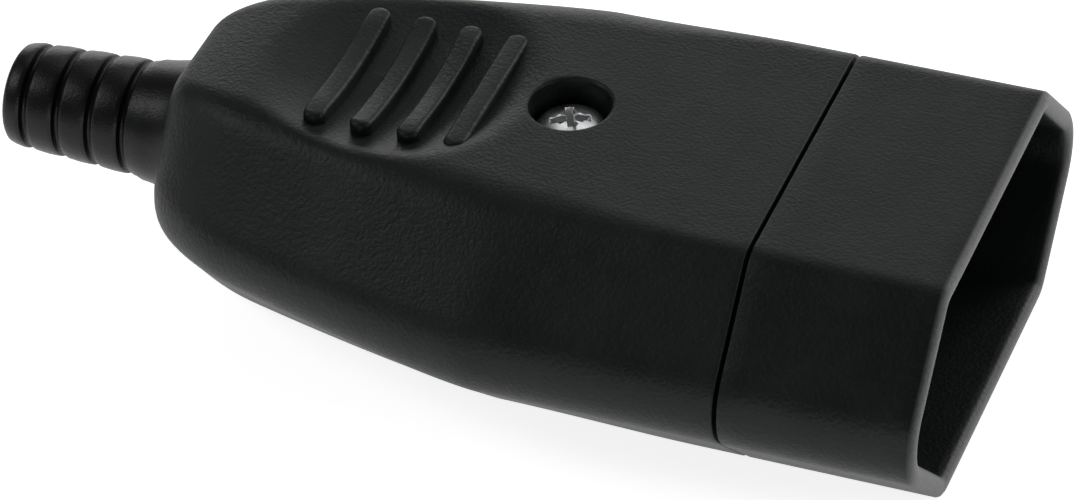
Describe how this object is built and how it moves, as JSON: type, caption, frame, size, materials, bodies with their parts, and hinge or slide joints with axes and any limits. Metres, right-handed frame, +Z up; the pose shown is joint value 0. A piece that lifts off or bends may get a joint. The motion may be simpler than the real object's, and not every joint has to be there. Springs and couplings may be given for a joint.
{
  "type": "two-pole in-line socket",
  "caption": "Rewirable two-pole in-line mains socket with a flattened six-sided collar, a tapering ribbed-grip cover held by one screw, and a ringed cord guard.",
  "frame": {"origin": "centre of the footprint on the lower flat that the socket lies on", "axes": "+X out of the mouth of the collar, +Y across the width, +Z up through the screw hole"},
  "size_m": [0.076, 0.0394, 0.0186],
  "materials": {
    "front_plastic": "fine matte",
    "cover_plastic": "fine matte",
    "inner_plastic": "matte",
    "guard_rubber": "satin",
    "screw_steel": "zinc plated",
    "spring_steel": "bright",
    "brass": "turned"
  },
  "bodies": {
    "root": {"socket_front": "front_plastic", "contact_tray": "inner_plastic", "rear_cover": "cover_plastic", "bend_guard": "guard_rubber", "cover_screw": "screw_steel", "cover_nut": "brass", "contact_lid": "inner_plastic", "lid_screw": "screw_steel", "sleeve_left": "brass", "sleeve_right": "brass", "clip_left": "spring_steel", "clip_right": "spring_steel", "block_left": "brass", "block_right": "brass", "terminal_screw_left": "screw_steel", "terminal_screw_right": "screw_steel", "wire_plate_left": "spring_steel", "wire_plate_right": "spring_steel", "clamp_bar": "inner_plastic", "clamp_screw_left": "screw_steel", "clamp_screw_right": "screw_steel"}
  },
  "joints": []
}
